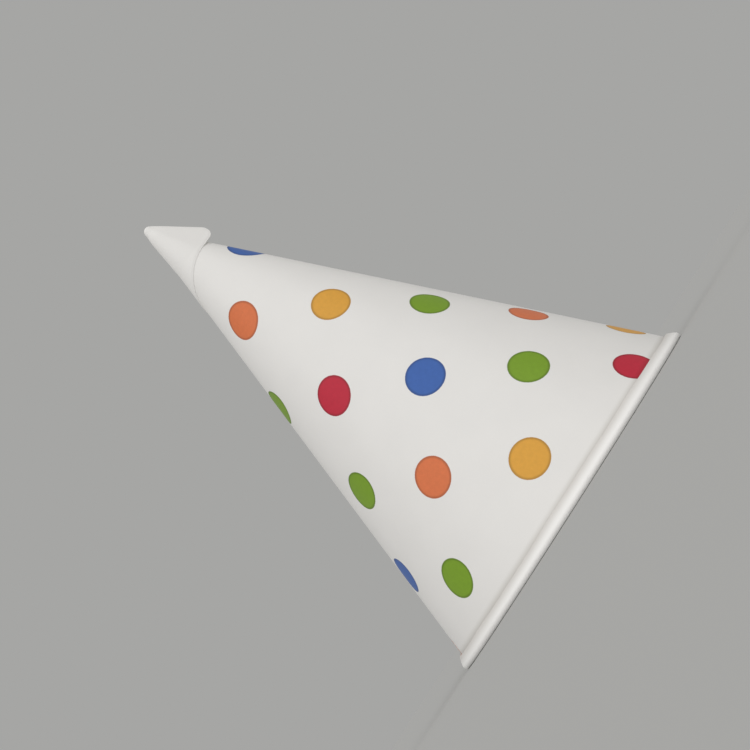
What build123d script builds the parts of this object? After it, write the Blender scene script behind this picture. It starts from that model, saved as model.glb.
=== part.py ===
from build123d import *

import os
from math import acos, asin, atan2, cos, degrees, hypot, radians, sin, sqrt, tan

# Cone paper cup, as it stands on its rolled rim with the tip up.
# One die-cut blank of coated paper is wound once round into a cone and glued down its lap,
# the end of the blank wraps on round the tip, and the mouth is rolled outward into a bead.
# Origin: middle of the mouth, on the surface the rim stands on. +Z runs from mouth to tip.
# Angles go round the axis from the front (-Y) towards +X. Lengths are in millimetres.

os.makedirs("parts", exist_ok=True)

# Overall size
rim_diameter = 82.5  # over the rolled rim
cup_height = 110.0  # from the foot of the rim to the tip
paper = 0.25  # thickness of the coated paper

# Rolled rim
bead_height = 2.8  # from the foot of the roll to its top
bead_depth = 1.6  # square to the wall, from its inner face to the outside of the roll
top_curl = 0.2  # radius of the tight upper curl, at the middle of the paper
curl_gap = 0.1  # between the wall and the end of the paper inside the roll
inward_chords = 2  # that the foot curl is drawn with, from the wall to its lowest place
outward_chords = 4  # and from there to the outside
outer_chords = 4  # of the upper curl, outside the bend
inner_chords = 3  # and inside it

# Tip
tip_radius = 1.2  # outside
tip_wrap = 14.0  # length down the wall over which the wound end thickens the tip

# Lap seam. The outer edge of the blank is one straight cut, which misses the apex.
seam_angle = -130.5  # of the outer edge at the rim
edge_offset = 14.0  # from the apex of the flat blank to the line of that cut
lap_width = 8.0  # from the inner edge to the outer edge, at the rim
lap_ramp = 3.0  # over which the outer ply climbs onto the inner edge, at the rim
seam_press = 0.05  # how far the glued plies are pressed into each other

# Free corner of the outer ply, beside the tip. The end of the blank is cut square to its
# outer edge, towards the apex. The sheet straightens there, so it springs off the wall.
# Its angles are those that the ply would reach if it lay on the wall.
corner_radius = 1.5  # of the rounded corner, in the flat blank
lift_start = 20.0  # where the ply leaves the wall
lift_full = 50.0  # from where it runs straight on
tail_press = 3.0  # length below the tip over which the ply is pressed flat into it

# Cone: its outer face runs from the tip's height down to the inside of the roll's foot
half_paper = paper / 2
foot_curl = (bead_depth - paper) / 2
foot_inside = foot_curl - half_paper
foot_outside = foot_curl + half_paper
foot_centre = Vector(rim_diameter / 2 - foot_outside, foot_outside)
apex = Vector(0, cup_height)
foot_reach = apex - foot_centre
half_angle = atan2(foot_centre.X, foot_reach.Y) - asin(foot_inside / foot_reach.length)
down_wall = Vector(sin(half_angle), -cos(half_angle))
off_wall = Vector(cos(half_angle), sin(half_angle))
tilt = degrees(half_angle)
foot_slant = (foot_centre - apex).dot(down_wall)

# Roll: the foot curl, a straight run that leans in, and a tighter curl back to the wall
top_inside = top_curl - half_paper
top_outside = top_curl + half_paper
curl_step = foot_inside - curl_gap - top_outside
curl_rise = bead_height - top_outside - foot_centre.Y
curl_run = (curl_rise + curl_step * sin(half_angle)) / cos(half_angle)
top_centre = foot_centre - off_wall * curl_step - down_wall * curl_run
curl_lean = asin((foot_curl - top_curl) / hypot(curl_step, curl_run)) + atan2(curl_step, curl_run)
lean = degrees(curl_lean)
run_side = Vector(cos(half_angle + curl_lean), sin(half_angle + curl_lean))

# Tip: a ball outside, and the line from it that meets the wall
ball_centre = apex - Vector(0, tip_radius)
wrap_foot = apex + down_wall * tip_wrap
wrap_reach = ball_centre - wrap_foot
wrap_angle = atan2(wrap_foot.X, wrap_reach.Y) - asin(tip_radius / wrap_reach.length)
ball_end = ball_centre + Vector(cos(wrap_angle), sin(wrap_angle)) * tip_radius
ball_slant = (ball_end - apex).dot(down_wall)
ball_swell = (ball_end - apex).dot(off_wall)
inner_apex = apex - Vector(0, paper / sin(half_angle))

# Outer edge of the blank, laid flat with its apex at the origin. Turns are flat angles.
blank_share = sin(half_angle)
edge_turn = radians(seam_angle) * blank_share + acos(edge_offset / foot_slant)
corner_angle = degrees(edge_turn) / blank_share
round_start = edge_offset - corner_radius
round_end = hypot(edge_offset, corner_radius)
round_slant = hypot(round_start, corner_radius)
round_turn = edge_turn - atan2(corner_radius, round_start)
lead_angle = seam_angle - degrees(lap_width / (foot_slant * blank_share))
ramp_angle = lead_angle - degrees(lap_ramp / (foot_slant * blank_share))


def end_angle(slant):
    """Angle at which the outer ply ends, at a slant length below the apex."""
    if slant <= round_start:
        return corner_angle
    if slant >= round_end:
        return degrees(edge_turn - acos(edge_offset / slant)) / blank_share
    spread = (slant**2 + round_slant**2 - corner_radius**2) / (2 * slant * round_slant)
    return degrees(round_turn + acos(min(1.0, spread))) / blank_share


def ease(share):
    """Smooth step from 0 to 1."""
    share = min(1.0, max(0.0, share))
    return share**2 * (3 - 2 * share)


def swell(slant):
    """Height of the thickened tip over the plain cone."""
    return ball_swell * min(1.0, max(0.0, (tip_wrap - slant) / (tip_wrap - ball_slant)))


def wound_frame(angle):
    """Ways from the apex down the wall and round it, where the sheet lies on the cone."""
    turn = radians(angle)
    down = Vector(blank_share * sin(turn), -blank_share * cos(turn), -cos(half_angle))
    return down, Vector(cos(turn), sin(turn), 0)


free_step = 0.5  # degrees between the places at which the free end is worked out
past_corner = 1.0  # degrees that the cut of the corner runs on past it


def sprung_frames(step_angle):
    """The same ways along the free end, step by step, as its bend goes from the cone's to none.
    The last step lies past the last place that is drawn, so each has a step on either side."""
    down, around = wound_frame(lift_start)
    step = radians(step_angle) * blank_share
    last_count = int((corner_angle + past_corner - lift_start) / step_angle) + 2
    frames = []
    for count in range(last_count + 1):
        frames.append((down, around))
        share = (count + 0.5) * step_angle / (lift_full - lift_start)
        bend = (1 - ease(share)) / tan(half_angle)
        normal = down.cross(around)
        next_down = (down + around * step).normalized()
        around = around - (down + normal * bend) * step
        around = (around - next_down * around.dot(next_down)).normalized()
        down = next_down
    return frames


free_frames = sprung_frames(free_step)


def lie_of(angle):
    """Way down the outer ply from the apex, and its normal, at an angle."""
    if angle <= lift_start:
        down, around = wound_frame(angle)
    else:
        place = int((angle - lift_start) / free_step)
        share = (angle - lift_start) / free_step - place
        before, after = free_frames[place], free_frames[place + 1]
        down = (before[0] * (1 - share) + after[0] * share).normalized()
        around = before[1] * (1 - share) + after[1] * share
    return down, down.cross(around).normalized()


def ply_plane(angle):
    """Plane through the apex at an angle: x runs down the outer ply, y stands square to it."""
    down, normal = lie_of(angle)
    return Plane(origin=(0, 0, cup_height), x_dir=down, z_dir=down.cross(normal))


def ply_section(reach):
    """Section of the outer ply, pressed into the tip at its top and flat on the wall below."""
    slants = (ball_slant, ball_slant + tail_press, tip_wrap, reach)
    tops = [swell(slant) + paper - seam_press for slant in slants]
    tops[0] = ball_swell - skin
    outer = list(zip(slants, tops))
    return outer + [(slant, top - paper) for slant, top in reversed(outer)]


def level_point(slant, angle, lift):
    """Point on the level of a slant length, at a height over the cone's outer face."""
    radius = slant * sin(half_angle) + lift / cos(half_angle)
    return (radius * sin(radians(angle)), -radius * cos(radians(angle)))


def turn_points(centre, radius, start, sweep, chords):
    """Points of a curl of the roll, in equal chords."""
    turns = [radians(start + sweep * chord / chords) for chord in range(chords + 1)]
    return [centre + Vector(cos(turn), sin(turn)) * radius for turn in turns]


def foot_turn(radius):
    """Points of the foot curl, with one at its lowest place."""
    wall_part = turn_points(foot_centre, radius, tilt + 180, 90 - tilt, inward_chords)
    return wall_part + turn_points(foot_centre, radius, 270, 90 + tilt + lean, outward_chords)[1:]


skin = seam_press / 2  # keeps the buried ends of the ply inside the wall

# Places along the outer edge: up the straight cut from the foot and round the corner
cut_places = 18
corner_places = 5
past_foot = 1.0  # that the cut runs on beyond the foot of the wall
tail_spare = 1.2  # share of length that the tail's sheet has before it is cut
bend_places = 5  # that the bend of the tail is drawn with
cut_depth = 1.5  # of the cut below the ply
cut_rise = 3.0  # and above it
foot_run = sqrt((foot_slant + past_foot) ** 2 - edge_offset**2)
tail_edge = edge_turn - radians(lift_start) * blank_share
tail_reach = tail_spare * edge_offset / cos(tail_edge)
edge_path = []
for place in range(cut_places):
    edge_slant = hypot(edge_offset, foot_run * (corner_radius / foot_run) ** (place / cut_places))
    edge_path.append((edge_slant, end_angle(edge_slant)))
for place in range(corner_places + 1):
    edge_slant = round_end + (round_start - round_end) * place / corner_places
    edge_path.append((edge_slant, end_angle(edge_slant)))
edge_path.append((round_start, corner_angle + past_corner))

with BuildPart() as outer_ply:
    # Over the inner edge of the blank, and on round the cone
    with BuildSketch(ply_plane(ramp_angle)):
        with BuildLine():
            Polyline(
                (ball_slant, ball_swell - skin),
                (tip_wrap, -skin),
                (foot_slant, -skin),
                (foot_slant, skin - paper),
                (tip_wrap, skin - paper),
                (ball_slant, ball_swell + skin - paper),
                close=True,
            )
        make_face()
    with BuildSketch(ply_plane(lead_angle)):
        with BuildLine():
            Polyline(
                (ball_slant, ball_swell - skin),
                (tip_wrap, paper - seam_press),
                (foot_slant, paper - seam_press),
                (foot_slant, -seam_press),
                (tip_wrap, -seam_press),
                (ball_slant, ball_swell - skin - paper),
                close=True,
            )
        make_face()
    loft(ruled=True)
    with BuildSketch(ply_plane(lead_angle)):
        with BuildLine():
            Polyline(*ply_section(foot_slant), close=True)
        make_face()
    revolve(axis=Axis.Z, revolution_arc=lift_start - lead_angle)

    # Tail: it leaves the wall and straightens
    for place in range(bend_places + 1):
        with BuildSketch(ply_plane(lift_start + (lift_full - lift_start) * place / bend_places)):
            with BuildLine():
                Polyline(*ply_section(tail_reach), close=True)
            make_face()
    with BuildSketch(ply_plane(corner_angle)):
        with BuildLine():
            Polyline(*ply_section(tail_reach), close=True)
        make_face()
    loft(ruled=True)

    # Outer edge of the blank
    for edge_slant, angle in edge_path:
        with BuildSketch(ply_plane(angle)):
            with BuildLine():
                Polyline(
                    (edge_slant, -cut_depth),
                    (edge_slant, cut_rise),
                    (foot_slant + 2 * past_foot, cut_rise),
                    (foot_slant + 2 * past_foot, -cut_depth),
                    close=True,
                )
            make_face()
    loft(ruled=True, mode=Mode.SUBTRACT)

with BuildPart() as paper_cup:
    # Section of the wall and the roll, turned round the axis
    with BuildSketch(Plane.XZ):
        with BuildLine():
            CenterArc(ball_centre, tip_radius, degrees(wrap_angle), 90 - degrees(wrap_angle))
            Polyline(ball_end, wrap_foot, foot_centre - off_wall * foot_inside)
            Polyline(*foot_turn(foot_inside))
            Line(foot_centre + run_side * foot_inside, top_centre + run_side * top_inside)
            Polyline(*turn_points(top_centre, top_inside, tilt + lean, 180 - lean, inner_chords))
            Line(top_centre - off_wall * top_inside, top_centre - off_wall * top_outside)
            Polyline(*turn_points(top_centre, top_outside, tilt + lean, 180 - lean, outer_chords))
            Line(top_centre + run_side * top_outside, foot_centre + run_side * foot_outside)
            Polyline(*foot_turn(foot_outside))
            Polyline(foot_centre - off_wall * foot_outside, inner_apex, apex)
        make_face()
    revolve(axis=Axis.Z)

    # Outer ply of the lap, glued down
    add(outer_ply.part)

    # Inner edge of the blank: inside the cup the paper steps out over it by its thickness
    for slant in (foot_slant, tip_wrap):
        with BuildSketch(Plane.XY.offset(cup_height - slant * cos(half_angle))):
            with BuildLine():
                Polyline(
                    level_point(slant, ramp_angle, -paper - skin),
                    level_point(slant, lead_angle, -paper - skin),
                    level_point(slant, lead_angle, -seam_press),
                    close=True,
                )
            make_face()
    loft(mode=Mode.SUBTRACT)

paper_cup.part.label = "paper_cup"
export_step(paper_cup.part, "parts/paper_cup.step")
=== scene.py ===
from math import acos, asin, atan2, cos, degrees, hypot, pi, radians, sin, sqrt, tan

import bmesh
import bpy
from mathutils import Matrix, Vector


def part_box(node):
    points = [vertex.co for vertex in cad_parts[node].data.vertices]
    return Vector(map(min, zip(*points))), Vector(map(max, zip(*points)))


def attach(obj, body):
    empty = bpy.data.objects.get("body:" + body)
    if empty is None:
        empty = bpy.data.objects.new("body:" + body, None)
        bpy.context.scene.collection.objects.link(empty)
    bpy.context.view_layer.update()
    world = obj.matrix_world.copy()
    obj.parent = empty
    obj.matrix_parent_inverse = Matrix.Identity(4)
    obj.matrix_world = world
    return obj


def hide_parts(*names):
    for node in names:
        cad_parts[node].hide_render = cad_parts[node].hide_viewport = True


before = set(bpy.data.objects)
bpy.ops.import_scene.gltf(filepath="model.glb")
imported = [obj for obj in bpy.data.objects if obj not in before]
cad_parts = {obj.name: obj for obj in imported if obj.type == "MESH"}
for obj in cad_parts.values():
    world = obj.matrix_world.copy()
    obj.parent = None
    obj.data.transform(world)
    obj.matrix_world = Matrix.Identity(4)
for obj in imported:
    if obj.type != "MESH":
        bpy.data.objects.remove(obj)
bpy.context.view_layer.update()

# Printed sheet
# Coated cup paper of about 200 g per square metre, printed on one face with round dots in five
# flat inks before the blank is cut from it. Flat places are in millimetres from the point of the
# blank, and every face of the cup carries its own.
paper_white = (0.790, 0.775, 0.752, 1.0)
# The unprinted face is whiter than the printed one: partly its own paper, and partly a painted
# highlight for the light that the rolled rim catches.
plain_white_with_painted_highlight = (0.870, 0.857, 0.837, 1.0)
edge_white = (0.840, 0.825, 0.805, 1.0)
coat_shine = 0.35
bump_strength = 0.3
bump_depth = 0.0001


def speckle(tree, place, scale, detail, rough=0.5):
    """Cloudy noise over the sheet, from 0 to 1."""
    node = tree.nodes.new("ShaderNodeTexNoise")
    node.inputs["Scale"].default_value = scale
    node.inputs["Detail"].default_value = detail
    node.inputs["Roughness"].default_value = rough
    tree.links.new(place, node.inputs["Vector"])
    return node.outputs["Fac"]


def fill_inputs(tree, node, values):
    """Sets or links a node's inputs in order, and returns the node."""
    for number, value in enumerate(values):
        if isinstance(value, (int, float)):
            node.inputs[number].default_value = value
        elif isinstance(value, Vector):
            node.inputs[number].default_value = value[:]
        else:
            tree.links.new(value, node.inputs[number])
    return node


def reckon(tree, kind, *values):
    """One step of arithmetic on numbers."""
    node = tree.nodes.new("ShaderNodeMath")
    node.operation = kind
    return fill_inputs(tree, node, values).outputs[0]


def place_step(tree, kind, *values):
    """One step of arithmetic on flat places, which gives a place."""
    node = tree.nodes.new("ShaderNodeVectorMath")
    node.operation = kind
    return fill_inputs(tree, node, values).outputs["Vector"]


def place_number(tree, kind, *values):
    """One step of arithmetic on flat places, which gives a number."""
    node = tree.nodes.new("ShaderNodeVectorMath")
    node.operation = kind
    return fill_inputs(tree, node, values).outputs["Value"]


def soft_step(tree, value, low, high):
    """Smooth step from 0 at low to 1 at high."""
    node = tree.nodes.new("ShaderNodeMapRange")
    node.interpolation_type = "SMOOTHSTEP"
    node.inputs["From Min"].default_value = low
    node.inputs["From Max"].default_value = high
    tree.links.new(value, node.inputs["Value"])
    return node.outputs["Result"]


def tinted(tree, first, second):
    """A colour multiplied by another colour or by a number."""
    node = tree.nodes.new("ShaderNodeMix")
    node.data_type = "RGBA"
    node.blend_type = "MULTIPLY"
    node.inputs["Factor"].default_value = 1.0
    for name, value in (("A", first), ("B", second)):
        if isinstance(value, tuple):
            node.inputs[name].default_value = value
        else:
            tree.links.new(value, node.inputs[name])
    return node.outputs["Result"]


# Coated face: cloudy tone of the sheet, grain of its fibres, and shallow waves under the coating
noise_middle = 0.5
matt_middle = 0.46
matt_by_grain = 0.16
wave_height = 2.4
grain_height = 0.12
coated = bpy.data.node_groups.new("coated_face", "ShaderNodeTree")
coated.interface.new_socket("Flat", in_out="INPUT", socket_type="NodeSocketVector")
for depth in ("Clouds", "Grain"):
    coated.interface.new_socket(depth, in_out="INPUT", socket_type="NodeSocketFloat")
for result in ("Tone", "Matt", "Height"):
    coated.interface.new_socket(result, in_out="OUTPUT", socket_type="NodeSocketFloat")
face_in = coated.nodes.new("NodeGroupInput")
face_out = coated.nodes.new("NodeGroupOutput")
place = face_in.outputs["Flat"]
cloud_noise = speckle(coated, place, scale=0.12, detail=3.0)
grain_noise = speckle(coated, place, scale=2.4, detail=4.0, rough=0.62)
waves = speckle(coated, place, scale=0.07, detail=1.0)
clouds = reckon(coated, "SUBTRACT", cloud_noise, noise_middle)
grain = reckon(coated, "SUBTRACT", grain_noise, noise_middle)
cloud_tone = reckon(coated, "MULTIPLY_ADD", clouds, face_in.outputs["Clouds"], 1.0)
tone = reckon(coated, "MULTIPLY_ADD", grain, face_in.outputs["Grain"], cloud_tone)
matt = reckon(coated, "MULTIPLY_ADD", grain, matt_by_grain, matt_middle)
fibres = reckon(coated, "MULTIPLY", grain, grain_height)
height = reckon(coated, "MULTIPLY_ADD", waves, wave_height, fibres)
for result, value in (("Tone", tone), ("Matt", matt), ("Height", height)):
    coated.links.new(value, face_out.inputs[result])


def paper_finish(name, tone_depth, grain_depth):
    """A finish of coated paper without its colour yet, its flat place, and its tone."""
    finish = bpy.data.materials.new(name)
    finish.use_nodes = True
    tree = finish.node_tree
    shader = tree.nodes["Principled BSDF"]
    shader.inputs["Specular IOR Level"].default_value = coat_shine
    where = tree.nodes.new("ShaderNodeUVMap")
    where.uv_map = "flat"
    face = tree.nodes.new("ShaderNodeGroup")
    face.node_tree = coated
    face.inputs["Clouds"].default_value = tone_depth
    face.inputs["Grain"].default_value = grain_depth
    tree.links.new(where.outputs["UV"], face.inputs["Flat"])
    bump = tree.nodes.new("ShaderNodeBump")
    bump.inputs["Strength"].default_value = bump_strength
    bump.inputs["Distance"].default_value = bump_depth
    tree.links.new(face.outputs["Height"], bump.inputs["Height"])
    tree.links.new(bump.outputs["Normal"], shader.inputs["Normal"])
    tree.links.new(face.outputs["Matt"], shader.inputs["Roughness"])
    return finish, where.outputs["UV"], face.outputs["Tone"]


# The dots lie on a nearly square lattice that is turned against the blank. These steps find which
# dot of it is nearest, and how far its middle is.
dot_radius = 4.20
edge_stray = 0.12
first_dot = Vector((33.37, -5.36, 0))
to_next = Vector((15.42, 13.27, 0))
to_row = Vector((-12.40, 15.97, 0))
cell = to_next.x * to_row.y - to_next.y * to_row.x
along_next = Vector((to_row.y, -to_row.x, 0)) / cell
along_rows = Vector((-to_next.y, to_next.x, 0)) / cell
printed_paper, printed_place, printed_tone = paper_finish(
    "printed_paper", tone_depth=0.05, grain_depth=0.03
)
tree = printed_paper.node_tree
from_first = place_step(tree, "SUBTRACT", printed_place, first_dot)
number_in_row = reckon(tree, "ROUND", place_number(tree, "DOT_PRODUCT", from_first, along_next))
row_number = reckon(tree, "ROUND", place_number(tree, "DOT_PRODUCT", from_first, along_rows))
row_place = place_step(tree, "MULTIPLY_ADD", row_number, to_row, first_dot)
middle = place_step(tree, "MULTIPLY_ADD", number_in_row, to_next, row_place)
dot_reach = place_number(tree, "DISTANCE", printed_place, middle)
edge_noise = speckle(tree, printed_place, scale=3.5, detail=2.0)
ragged_reach = reckon(tree, "MULTIPLY_ADD", edge_noise, edge_stray, dot_reach)

# A dot has a crisp round edge, where the ink heaps up a little. None is printed with its middle
# by the tip or under the rolled rim.
print_start = 18.0
print_end = 115.0
edge_inside = 0.05
edge_outside = 0.09
heap_width = 0.65
heap_inset = 0.10
heap_shade = 0.34
mottle_least = 0.9
mottle_range = 0.2
outside_dot = soft_step(tree, ragged_reach, dot_radius - edge_inside, dot_radius + edge_outside)
inside_dot = reckon(tree, "SUBTRACT", 1.0, outside_dot)
middle_slant = place_number(tree, "LENGTH", middle)
past_start = reckon(tree, "GREATER_THAN", middle_slant, print_start)
before_end = reckon(tree, "LESS_THAN", middle_slant, print_end)
printed_dot = reckon(tree, "MULTIPLY", past_start, before_end)
dot_mask = reckon(tree, "MULTIPLY", inside_dot, printed_dot)
heaped_ink = soft_step(tree, ragged_reach, dot_radius - heap_width, dot_radius - heap_inset)
heap_tone = reckon(tree, "MULTIPLY_ADD", heaped_ink, -heap_shade, 1.0)
ink_noise = speckle(tree, printed_place, scale=1.1, detail=3.0, rough=0.6)
mottled_ink = reckon(tree, "MULTIPLY_ADD", ink_noise, mottle_range, mottle_least)
ink_tone = reckon(tree, "MULTIPLY", mottled_ink, heap_tone)

# The inks take turns. The next dot of a row is two inks back, and the same dot of the next row is
# one ink on. The half keeps each turn clear of the ramp's steps.
blue = (0.040, 0.122, 0.412, 1.0)
green = (0.188, 0.333, 0.015, 1.0)
crimson = (0.512, 0.014, 0.040, 1.0)
ochre = (0.708, 0.350, 0.043, 1.0)
coral = (0.682, 0.172, 0.058, 1.0)
ink_order = (blue, green, crimson, ochre, green, coral)
ink_count = len(ink_order)
first_ink = 5.5
inks_back = 2.0
row_turn = reckon(tree, "ADD", row_number, first_ink)
ink_turn = reckon(tree, "MULTIPLY_ADD", number_in_row, -inks_back, row_turn)
ink_share = reckon(tree, "DIVIDE", reckon(tree, "FLOORED_MODULO", ink_turn, ink_count), ink_count)
inks = tree.nodes.new("ShaderNodeValToRGB")
inks.color_ramp.interpolation = "CONSTANT"
ramp = inks.color_ramp.elements
ramp[0].color = ink_order[0]
ramp[1].position = 1 / ink_count
ramp[1].color = ink_order[1]
for number in range(2, ink_count):
    ramp.new(number / ink_count).color = ink_order[number]
tree.links.new(ink_share, inks.inputs["Fac"])

dots = tree.nodes.new("ShaderNodeMix")
dots.data_type = "RGBA"
dots.inputs["A"].default_value = paper_white
tree.links.new(dot_mask, dots.inputs["Factor"])
tree.links.new(tinted(tree, inks.outputs["Color"], ink_tone), dots.inputs["B"])
printed_colour = tinted(tree, dots.outputs["Result"], printed_tone)

# The unprinted face, which is inside the cup and outside on the rolled rim, and the cut edge
plain_paper, plain_place, plain_tone = paper_finish(
    "plain_paper", tone_depth=0.05, grain_depth=0.03
)
plain_colour = tinted(plain_paper.node_tree, plain_white_with_painted_highlight, plain_tone)
cut_edge, _, edge_tone = paper_finish("cut_edge", tone_depth=0.03, grain_depth=0.10)
tree = cut_edge.node_tree
edge_colour = tinted(tree, edge_white, edge_tone)
tree.links.new(edge_colour, tree.nodes["Principled BSDF"].inputs["Base Color"])

# Cone wall
# The paper blank is wound once round a mandrel into a cone, printed face out. Slant lengths run
# down the wall from the cone's point, and angles go round the axis from the front (-Y) towards
# +X. Lengths of the cup are millimetres.
millimetre = 0.001
cup_low, cup_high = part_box("paper_cup")
rim_radius = (cup_high[0] - cup_low[0]) / 2 / millimetre
cup_height = (cup_high[2] - cup_low[2]) / millimetre
paper = 0.25
bead_depth = 1.6
foot_curl = (bead_depth - paper) / 2
foot_inside = foot_curl - paper / 2
foot_outside = foot_curl + paper / 2
foot_centre = Vector((rim_radius - foot_outside, foot_outside))
apex = Vector((0, cup_height))
foot_reach = apex - foot_centre
half_angle = atan2(foot_centre.x, foot_reach.y) - asin(foot_inside / foot_reach.length)
down_wall = Vector((sin(half_angle), -cos(half_angle)))
off_wall = Vector((cos(half_angle), sin(half_angle)))
foot_slant = (foot_centre - apex).dot(down_wall)
blank_share = sin(half_angle)

# Lap of the two ends of the blank: the outer end is one straight cut that misses the point
seam_angle = -184.0
edge_offset = 15.1
lap_width = 8.0
lap_ramp = 3.0
seam_press = 0.05
lead_angle = seam_angle - degrees(lap_width / (foot_slant * blank_share))
ramp_angle = lead_angle - degrees(lap_ramp / (foot_slant * blank_share))


def ease(share):
    """Smooth step from 0 to 1."""
    share = min(1.0, max(0.0, share))
    return share**2 * (3 - 2 * share)


def wall_point(slant, lift):
    """Radius and height of a point of the wall, at a height over its printed face."""
    return apex + down_wall * slant + off_wall * lift


def on_cup(point, angle):
    """Place on the cup, in metres, of a point given by its radius and height."""
    turn = radians(angle)
    return Vector((point.x * sin(turn), -point.x * cos(turn), point.y)) * millimetre


def on_blank(slant, angle):
    """The same place on the flat blank."""
    turn = radians(angle) * blank_share
    return (slant * cos(turn), slant * sin(turn))


# Tip
# The blank closes to a blunt point, which the end of the sheet that goes on round it thickens.
# It is a small ball outside, and the wall swells towards it.
tip_radius = 1.2
tip_wrap = 14.0
ball_rows = 10
ball_centre = apex - Vector((0, tip_radius))
wrap_foot = wall_point(tip_wrap, 0)
wrap_reach = ball_centre - wrap_foot
wrap_angle = atan2(wrap_foot.x, wrap_reach.y) - asin(tip_radius / wrap_reach.length)
ball_end = ball_centre + Vector((cos(wrap_angle), sin(wrap_angle))) * tip_radius
ball_slant = (ball_end - apex).dot(down_wall)
ball_swell = (ball_end - apex).dot(off_wall)
inner_point = paper / sin(half_angle) * cos(half_angle)


def swell(slant):
    """How far the wound end thickens the wall near the tip."""
    return ball_swell * min(1.0, max(0.0, (tip_wrap - slant) / (tip_wrap - ball_slant)))


# Each face of the first turn is a run of (point, slant length, share of the roll) down the cup.
# The printed face's rows stand closer towards the tip.
wall_rows = 44
crowding = 1.25
printed_run = []
plain_run = []
for row in range(ball_rows):
    turn = pi / 2 + (wrap_angle - pi / 2) * row / ball_rows
    point = ball_centre + Vector((cos(turn), sin(turn))) * tip_radius
    printed_run.append((point, ball_slant * row / ball_rows, 0.0))
for row in range(wall_rows + 1):
    share = row / wall_rows
    slant = ball_slant + (foot_slant - ball_slant) * share**crowding
    printed_run.append((wall_point(slant, swell(slant)), slant, 0.0))
    slant = inner_point + (foot_slant - inner_point) * share
    plain_run.append((wall_point(slant, -paper), slant, 0.0))

# Rolled rim
# The paper of the mouth is rolled outward by a heated die, so its unprinted face shows. The bead
# turns round at the foot, leans in, and its tight upper curl tucks the end of the paper under.
bead_height = 2.8
top_curl = 0.2
curl_gap = 0.1
run_bow = 0.05
foot_rows = 16
run_rows = 5
top_rows = 10
top_inside = top_curl - paper / 2
top_outside = top_curl + paper / 2
curl_step = foot_inside - curl_gap - top_outside
curl_rise = bead_height - top_outside - foot_centre.y
curl_drop = (curl_rise + curl_step * sin(half_angle)) / cos(half_angle)
top_centre = foot_centre - off_wall * curl_step - down_wall * curl_drop
curl_reach = hypot(curl_step, curl_drop)
curl_lean = asin((foot_curl - top_curl) / curl_reach) + atan2(curl_step, curl_drop)
straight_run = sqrt(curl_reach**2 - (foot_curl - top_curl) ** 2)
foot_sweep = pi + curl_lean
top_sweep = pi - curl_lean
roll_length = foot_curl * foot_sweep + straight_run + top_curl * top_sweep


def rolled(foot_radius, top_radius):
    """One face of the paper on its way round the bead."""
    run = []
    for row in range(1, foot_rows + 1):
        turn = half_angle + pi + foot_sweep * row / foot_rows
        point = foot_centre + Vector((cos(turn), sin(turn))) * foot_radius
        run.append((point, foot_curl * foot_sweep * row / foot_rows))
    lean_side = Vector((cos(half_angle + curl_lean), sin(half_angle + curl_lean)))
    run_foot = run[-1][0]
    run_top = top_centre + lean_side * top_radius
    for row in range(1, run_rows + 1):
        share = row / (run_rows + 1)
        point = run_foot.lerp(run_top, share) + lean_side * run_bow * sin(pi * share)
        run.append((point, foot_curl * foot_sweep + straight_run * share))
    for row in range(top_rows + 1):
        turn = half_angle + curl_lean + top_sweep * row / top_rows
        point = top_centre + Vector((cos(turn), sin(turn))) * top_radius
        run.append((point, roll_length - top_curl * top_sweep * (1 - row / top_rows)))
    return [(point, foot_slant + length, length / roll_length) for point, length in run]


printed_run += rolled(foot_inside, top_inside)
plain_run += rolled(foot_outside, top_outside)

# The bead strays a little from its true section past the first part of the roll. It has three
# waves round the rim, each given by its height, its count and its start, and bulges over the lap.
bead_waves = ((0.10, 3, 0.6), (0.06, 8, 2.1), (0.035, 17, 4.0))
true_share = 0.25
lap_bulge = 0.17
bulge_fade = 3.0


def bead_shift(angle, share):
    """How the bead strays from its true section: up and down all round, and out over the lap."""
    turn = radians(angle)
    stray = sum(wave * sin(count * turn + start) for wave, count, start in bead_waves)
    from_seam = (angle - seam_angle + 180.0) % 360.0 - 180.0
    lap_turn = seam_angle - lead_angle
    over_lap = ease((from_seam + lap_turn + bulge_fade) / bulge_fade)
    over_lap *= ease((bulge_fade / 2 - from_seam) / bulge_fade)
    shift = off_wall * lap_bulge * over_lap - down_wall * stray
    return shift * ease((share - true_share) / (1 - true_share))


# Painted shade on both sides of the crease: the wall under the bead and the bead's upper
# curl are greyed where shade falls. The shade starts and is full at these distances from
# the crease, and from the start of the upper curl.
crease_painted_shade = (0.74, 0.725, 0.705, 1.0)
crease_slant = foot_slant - curl_drop - top_outside
crease_shade_clear = 1.5
crease_shade_full = 0.1
curl_slant = foot_slant + roll_length - top_curl * top_sweep
curl_shade_clear = 1.9
curl_shade_full = 0.2


def join_painted_shade(finish, place, colour, clear, full):
    """Joins a finish's colour to its shader, with painted shade between two slant lengths."""
    tree = finish.node_tree
    painted_shade_mix = tree.nodes.new("ShaderNodeMix")
    painted_shade_mix.data_type = "RGBA"
    painted_shade_mix.inputs["A"].default_value = (1.0, 1.0, 1.0, 1.0)
    painted_shade_mix.inputs["B"].default_value = crease_painted_shade
    painted_shade_share = soft_step(tree, place_number(tree, "LENGTH", place), clear, full)
    tree.links.new(painted_shade_share, painted_shade_mix.inputs["Factor"])
    shader = tree.nodes["Principled BSDF"]
    tree.links.new(tinted(tree, colour, painted_shade_mix.outputs["Result"]), shader.inputs["Base Color"])


# Painted shade on the printed wall under the bead, then on the plain face of the bead's upper curl
clear, full = crease_slant - crease_shade_clear, crease_slant + crease_shade_full
join_painted_shade(printed_paper, printed_place, printed_colour, clear, full)
clear, full = curl_slant - curl_shade_clear, curl_slant + curl_shade_full
join_painted_shade(plain_paper, plain_place, plain_colour, clear, full)

# The whole cup is one mesh, because it is one sheet. Its finishes go by their numbers on it.
sheet = bmesh.new()
flat = sheet.loops.layers.uv.new("flat")
printed, plain, cut = 0, 1, 2


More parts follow.
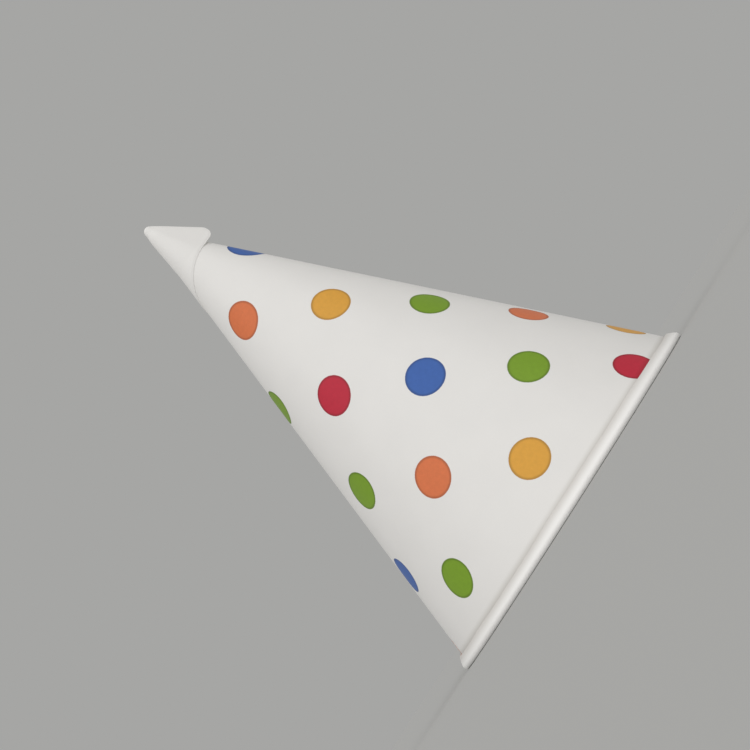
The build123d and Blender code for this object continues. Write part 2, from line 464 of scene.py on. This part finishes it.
def lay_sheet(rows, finish):
    """Faces between rows of (place, flat place). Their outside has the rows' angles rising."""
    laid = [[sheet.verts.new(place) for place, _ in row] for row in rows]
    for row in range(len(rows) - 1):
        for column in range(len(rows[0]) - 1):
            corners = ((row, column), (row + 1, column), (row + 1, column + 1), (row, column + 1))
            patch = sheet.faces.new([laid[down][along] for down, along in corners])
            patch.material_index = finish
            patch.smooth = True
            for loop, (down, along) in zip(patch.loops, corners):
                loop[flat].uv = rows[down][along][1]


def even_steps(start, end, count):
    """Angles from start up to end, without the end."""
    return [start + (end - start) * step / count for step in range(count)]


# Printed face of the first turn, with more columns where the lap and the bead over it are
lap_spread = 4.0
lap_columns = 40
round_columns = 156
climb_columns = 16
past_lap = seam_angle + lap_spread
before_climb = ramp_angle + 360.0 - lap_spread
turn_end = lead_angle + 360.0
turn_angles = even_steps(lead_angle, past_lap, lap_columns)
turn_angles += even_steps(past_lap, before_climb, round_columns)
turn_angles += even_steps(before_climb, turn_end, climb_columns) + [turn_end]


def first_turn(point, slant, share, angle):
    """A point of the first turn, and its place on the blank."""
    return (on_cup(point + bead_shift(angle, share), angle), on_blank(slant, angle))


lay_sheet([[first_turn(*at, angle) for angle in turn_angles] for at in printed_run], printed)

# Plain face of the first turn. At the end of the turn the paper climbs out over the other end
# of the blank, whose cut edge shows inside the cup as a low step. The step comes in below the
# tip, is squeezed lower by the roll, and goes out before the end of the paper.
climb_start = 8.0
climb_full = 16.0
squeeze = 0.4
squeezed_share = 0.25
level_start = 0.85
level_run = 0.15
inside_rows = []
step_rows = []
for row, (point, slant, share) in enumerate(plain_run):
    if row < len(plain_run) - 1:
        along = (plain_run[row + 1][0] - point).normalized()
    climb_depth = (paper - seam_press) * ease((slant - climb_start) / (climb_full - climb_start))
    squeezed = 1 - squeeze * ease(share / squeezed_share)
    climb_depth *= squeezed * (1 - ease((share - level_start) / level_run))
    line = []
    for angle in turn_angles:
        climb = ease((angle - ramp_angle - 360.0) / (lead_angle - ramp_angle))
        moved = point + Vector((-along.y, along.x)) * climb_depth * climb
        line.append(first_turn(moved, slant, share, angle))
    inside_rows.append(line[::-1])
    step_rows.append([first_turn(point, slant, share, lead_angle), line[-1]])
lay_sheet(inside_rows, plain)
lay_sheet(step_rows, cut)

# End of the paper inside the bead
paper_end = (printed_run[-1], plain_run[-1])
lay_sheet([[first_turn(*at, angle) for angle in turn_angles] for at in paper_end], cut)

# Lap seam and free corner
# The outer end of the blank is glued down over the inner end as far as its straight cut. By the
# tip it goes on round, and its corner springs off the wall, because nothing holds it there.
# The end of the blank is cut towards the point, at a sharp angle that is well rounded.
corner_radius = 2.5
tail_angle = 112.0
lift_start = 20.0
lift_full = 50.0
tail_press = 3.0
edge_turn = radians(seam_angle) * blank_share + acos(edge_offset / foot_slant)
edge_angle = degrees(edge_turn) / blank_share
tail_turn = radians(tail_angle) * blank_share
off_square = tail_turn - edge_turn
round_start = (edge_offset - corner_radius * (1 + sin(off_square))) / cos(off_square)
to_cut = Vector((cos(edge_turn), sin(edge_turn)))
to_end = Vector((-sin(tail_turn), cos(tail_turn)))
round_centre = Vector((cos(tail_turn), sin(tail_turn))) * round_start - to_end * corner_radius


def wound_frame(angle):
    """Ways from the cone's point down the wall and round it, where the sheet lies on the cone."""
    turn = radians(angle)
    down = Vector((blank_share * sin(turn), -blank_share * cos(turn), -cos(half_angle)))
    return down, Vector((cos(turn), sin(turn), 0))


# The same ways along the free end, as its bend eases from the cone's to none. The last frames are
# past the end, to spare.
free_step = 0.25
spare_frames = 3
flat_step = radians(free_step) * blank_share
free_frames = []
down, around = wound_frame(lift_start)
for count in range(int((tail_angle - lift_start) / free_step) + spare_frames):
    free_frames.append((down, around))
    bend = (1 - ease((count + 0.5) * free_step / (lift_full - lift_start))) / tan(half_angle)
    next_down = (down + around * flat_step).normalized()
    around = around - (down + down.cross(around) * bend) * flat_step
    around = (around - next_down * around.dot(next_down)).normalized()
    down = next_down


def ply_point(slant, angle, lift):
    """Place on the outer ply, in metres, at a height over the face that it lies on."""
    if angle <= lift_start:
        down, around = wound_frame(angle)
    else:
        place = (angle - lift_start) / free_step
        before, after = free_frames[int(place)], free_frames[int(place) + 1]
        down = before[0].lerp(after[0], place % 1).normalized()
        around = before[1].lerp(after[1], place % 1)
    normal = down.cross(around).normalized()
    return (Vector((0, 0, cup_height)) + down * slant + normal * lift) * millimetre


# The rows of the tail, each with its distance towards the cut and the angle where it ends: first
# those that end at the end of the blank, then those that end round its corner
tail_rows = 16
corner_rows = 24
square_start = round_start * cos(off_square)
tail_ends = []
for row in range(tail_rows):
    tail_ends.append((ball_slant + (square_start - ball_slant) * row / tail_rows, tail_angle))
for row in range(corner_rows + 1):
    turn = tail_turn + pi / 2 - (off_square + pi / 2) * row / corner_rows
    place = round_centre + Vector((cos(turn), sin(turn))) * corner_radius
    tail_ends.append((place.dot(to_cut), degrees(atan2(place.y, place.x)) / blank_share))

# The die that cuts the blank crushes its edge thinner over this width
crushed = 0.7
crush_depth = 0.45
crushed_columns = 5
ply_columns = 80
ramp_columns = 6
tail_columns = 30


def ply_angles(slant, end_angle):
    """Angles of the points of a row of the outer ply that ends at the cut, without its end."""
    crushed_angle = degrees(crushed / (slant * blank_share))
    angles = even_steps(ramp_angle, lead_angle, ramp_columns)
    angles += even_steps(lead_angle, end_angle - crushed_angle, ply_columns)
    return angles + even_steps(end_angle - crushed_angle, end_angle, crushed_columns)


def edge_gap(slant, turn):
    """How far a place of the outer ply is from the cut and the end of the blank."""
    place = Vector((slant * cos(turn), slant * sin(turn)))
    cut_gap = edge_offset - place.dot(to_cut)
    end_gap = -place.dot(to_end)
    if max(cut_gap, end_gap) < corner_radius:
        return corner_radius - (place - round_centre).length
    return min(cut_gap, end_gap)


def ply_lines(offset, angles):
    """A row of the outer ply on both of its faces. Past the cut's middle it runs beside the cut."""
    over_line = []
    under_line = []
    for angle in angles:
        turn = radians(angle) * blank_share
        slant = offset / cos(max(0.0, turn - edge_turn))
        pressed = ease((slant - ball_slant) / tail_press)
        top = (paper - seam_press) * pressed - seam_press / 2 * (1 - pressed)
        climb = ease((angle - ramp_angle) / (lead_angle - ramp_angle))
        climb *= 1 - crush_depth * ease(1 - edge_gap(slant, turn) / crushed)
        lift = swell(slant) + (top + seam_press / 2) * climb - seam_press / 2
        flat_at = on_blank(slant, angle + 360.0)
        over_line.append((ply_point(slant, angle, lift), flat_at))
        under_line.append((ply_point(slant, angle, lift - paper), flat_at))
    return over_line, under_line


tail_lines = []
for offset, end_angle in tail_ends:
    crushed_angle = degrees(crushed / (offset * blank_share))
    last_part = min(crushed_angle, (end_angle - edge_angle) / 2)
    angles = ply_angles(offset, edge_angle)
    cut_middle = len(angles)
    angles += even_steps(edge_angle, end_angle - last_part, tail_columns)
    angles += even_steps(end_angle - last_part, end_angle, crushed_columns) + [end_angle]
    tail_lines.append(ply_lines(offset, angles))

# Rows from the middle of the straight cut down to the rim, closer together by its middle
cut_rows = 64
cut_crowding = 1.8
cut_length = sqrt(foot_slant**2 - edge_offset**2)
cut_lines = []
for row in range(cut_rows + 1):
    along_cut = cut_length * (row / cut_rows) ** cut_crowding
    slant = hypot(edge_offset, along_cut)
    end_angle = degrees(edge_turn - atan2(along_cut, edge_offset)) / blank_share
    cut_lines.append(ply_lines(slant, ply_angles(slant, end_angle) + [end_angle]))

# Both faces of the outer ply, its ends, its edge beside the cut, and its first and last rows
for lines in (tail_lines, cut_lines):
    lay_sheet([over for over, under in lines], printed)
    lay_sheet([under[::-1] for over, under in lines], plain)
    lay_sheet([[under[0], over[0]] for over, under in lines], cut)
    lay_sheet([[over[-1], under[-1]] for over, under in lines], cut)
beside_cut = list(zip(*tail_lines[-1]))[cut_middle:]
lay_sheet([list(pair) for pair in beside_cut[::-1]], cut)
lay_sheet(tail_lines[0][::-1], cut)
lay_sheet(cut_lines[-1], cut)

# The sheets are welded where they meet, and stay sharp where two finishes meet
weld_gap = 1e-7
bmesh.ops.remove_doubles(sheet, verts=sheet.verts, dist=weld_gap)
for edge in sheet.edges:
    edge.smooth = len({patch.material_index for patch in edge.link_faces}) == 1
cup_mesh = bpy.data.meshes.new("paper_cup_blank")
sheet.to_mesh(cup_mesh)
sheet.free()
for finish in (printed_paper, plain_paper, cut_edge):
    cup_mesh.materials.append(finish)
cup = bpy.data.objects.new("paper_cup_blank", cup_mesh)
bpy.context.scene.collection.objects.link(cup)
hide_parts("paper_cup")
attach(cup, "root")

# Floor
# A plain pale studio floor of matt board, wide enough to run out of every view. It carries the
# cup's soft shadow, and the backdrop behind it has the tone that it has in the light.
floor_tone = (0.43, 0.43, 0.42, 1.0)
floor_half = 4.0
floor_corners = [(-floor_half, -floor_half, 0), (floor_half, -floor_half, 0)]
floor_corners += [(floor_half, floor_half, 0), (-floor_half, floor_half, 0)]
floor_mesh = bpy.data.meshes.new("floor")
floor_mesh.from_pydata(floor_corners, [], [(0, 1, 2, 3)])
floor = bpy.data.objects.new("floor", floor_mesh)
bpy.context.scene.collection.objects.link(floor)
matt_board = bpy.data.materials.new("matt_board")
matt_board.use_nodes = True
shader = matt_board.node_tree.nodes["Principled BSDF"]
shader.inputs["Base Color"].default_value = floor_tone
shader.inputs["Roughness"].default_value = 1.0
shader.inputs["Specular IOR Level"].default_value = 0.0
floor_mesh.materials.append(matt_board)

# Studio light
# An even room light from all round, and one broad soft lamp beside the camera, a little above
# it. The camera sees the backdrop instead of the room.
room_tone = (1.0, 0.995, 0.985, 1.0)
room_strength = 0.62
backdrop_tone = (0.381, 0.381, 0.372, 1.0)
world = bpy.data.worlds.new("studio")
bpy.context.scene.world = world
world.use_nodes = True
tree = world.node_tree
room = tree.nodes["Background"]
room.inputs["Color"].default_value = room_tone
room.inputs["Strength"].default_value = room_strength
backdrop = tree.nodes.new("ShaderNodeBackground")
backdrop.inputs["Color"].default_value = backdrop_tone
backdrop.inputs["Strength"].default_value = 1.0
seen = tree.nodes.new("ShaderNodeLightPath").outputs
seen_straight = reckon(tree, "MAXIMUM", seen["Is Camera Ray"], seen["Is Transmission Ray"])
seen_at_all = reckon(tree, "MAXIMUM", seen_straight, seen["Is Glossy Ray"])
choose = tree.nodes.new("ShaderNodeMixShader")
tree.links.new(seen_at_all, choose.inputs["Fac"])
tree.links.new(room.outputs["Background"], choose.inputs[1])
tree.links.new(backdrop.outputs["Background"], choose.inputs[2])
tree.links.new(choose.outputs["Shader"], tree.nodes["World Output"].inputs["Surface"])

key_power = 1.60
key_spread = radians(120.0)
key_side = Vector((0.05, -0.85, 0.45))
key_lamp = bpy.data.lights.new("soft_key", "SUN")
key_lamp.angle = key_spread
key_lamp.energy = key_power
key = bpy.data.objects.new("soft_key", key_lamp)
key.location = key_side * 2
key.rotation_euler = key_side.to_track_quat("Z", "Y").to_euler()
bpy.context.scene.collection.objects.link(key)

# Camera
# It looks square at the side of the cup from just over the floor, and is rolled so that the
# tip points to the upper left, as the cup is seen in the picture.
camera_far = 0.3304
camera_rise = radians(0.6)
camera_foot = 0.00125
camera_height = camera_foot + camera_far * sin(camera_rise)
camera_place = Vector((0, -camera_far * cos(camera_rise), camera_height))
aim = Vector((0.0001, 0.0, 0.0499))
forward = (aim - camera_place).normalized()
picture_up = Vector((0.8393, -0.1695, 0.5167))
picture_up = (picture_up - forward * picture_up.dot(forward)).normalized()
right = forward.cross(picture_up)
lens = bpy.data.cameras.new("camera")
lens.sensor_width = 36.0
lens.lens = 75.0
lens.clip_start = 0.01
camera = bpy.data.objects.new("camera", lens)
turned = Matrix((right, picture_up, -forward)).transposed()
camera.matrix_world = Matrix.Translation(camera_place) @ turned.to_4x4()
bpy.context.scene.collection.objects.link(camera)
bpy.context.scene.camera = camera
bpy.context.scene.view_settings.view_transform = "Standard"
